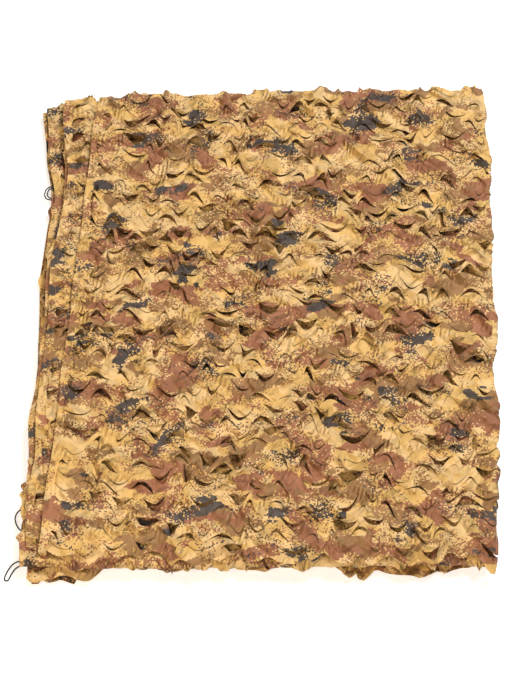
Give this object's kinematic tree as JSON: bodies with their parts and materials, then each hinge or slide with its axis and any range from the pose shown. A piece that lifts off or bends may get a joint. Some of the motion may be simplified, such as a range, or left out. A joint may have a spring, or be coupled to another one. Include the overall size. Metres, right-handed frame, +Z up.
{
  "type": "camouflage netting, folded flat",
  "caption": "Leaf-cut camouflage net of printed cloth, doubled lengthwise and laid back and forth into a flat rectangular stack, with thin cord loops at its hemmed side.",
  "frame": {"origin": "middle of the underside of the folded net, measured without the cord loops", "axes": "+Z up from the surface it lies on; +Y away from the viewer, along the panels and the lengthwise fold; +X towards the lengthwise fold, with the hems at -X"},
  "size_m": [0.8543, 1.0021, 0.0562],
  "materials": {
    "net_cloth": "printed polyester oxford cloth, semi-matt",
    "cord_black": "black braided cord, matt"
  },
  "bodies": {
    "root": {"net": "net_cloth", "cord_loop_far": "cord_black", "cord_loop_far_inner": "cord_black", "cord_loop_near": "cord_black", "cord_loop_corner": "cord_black"}
  },
  "joints": []
}
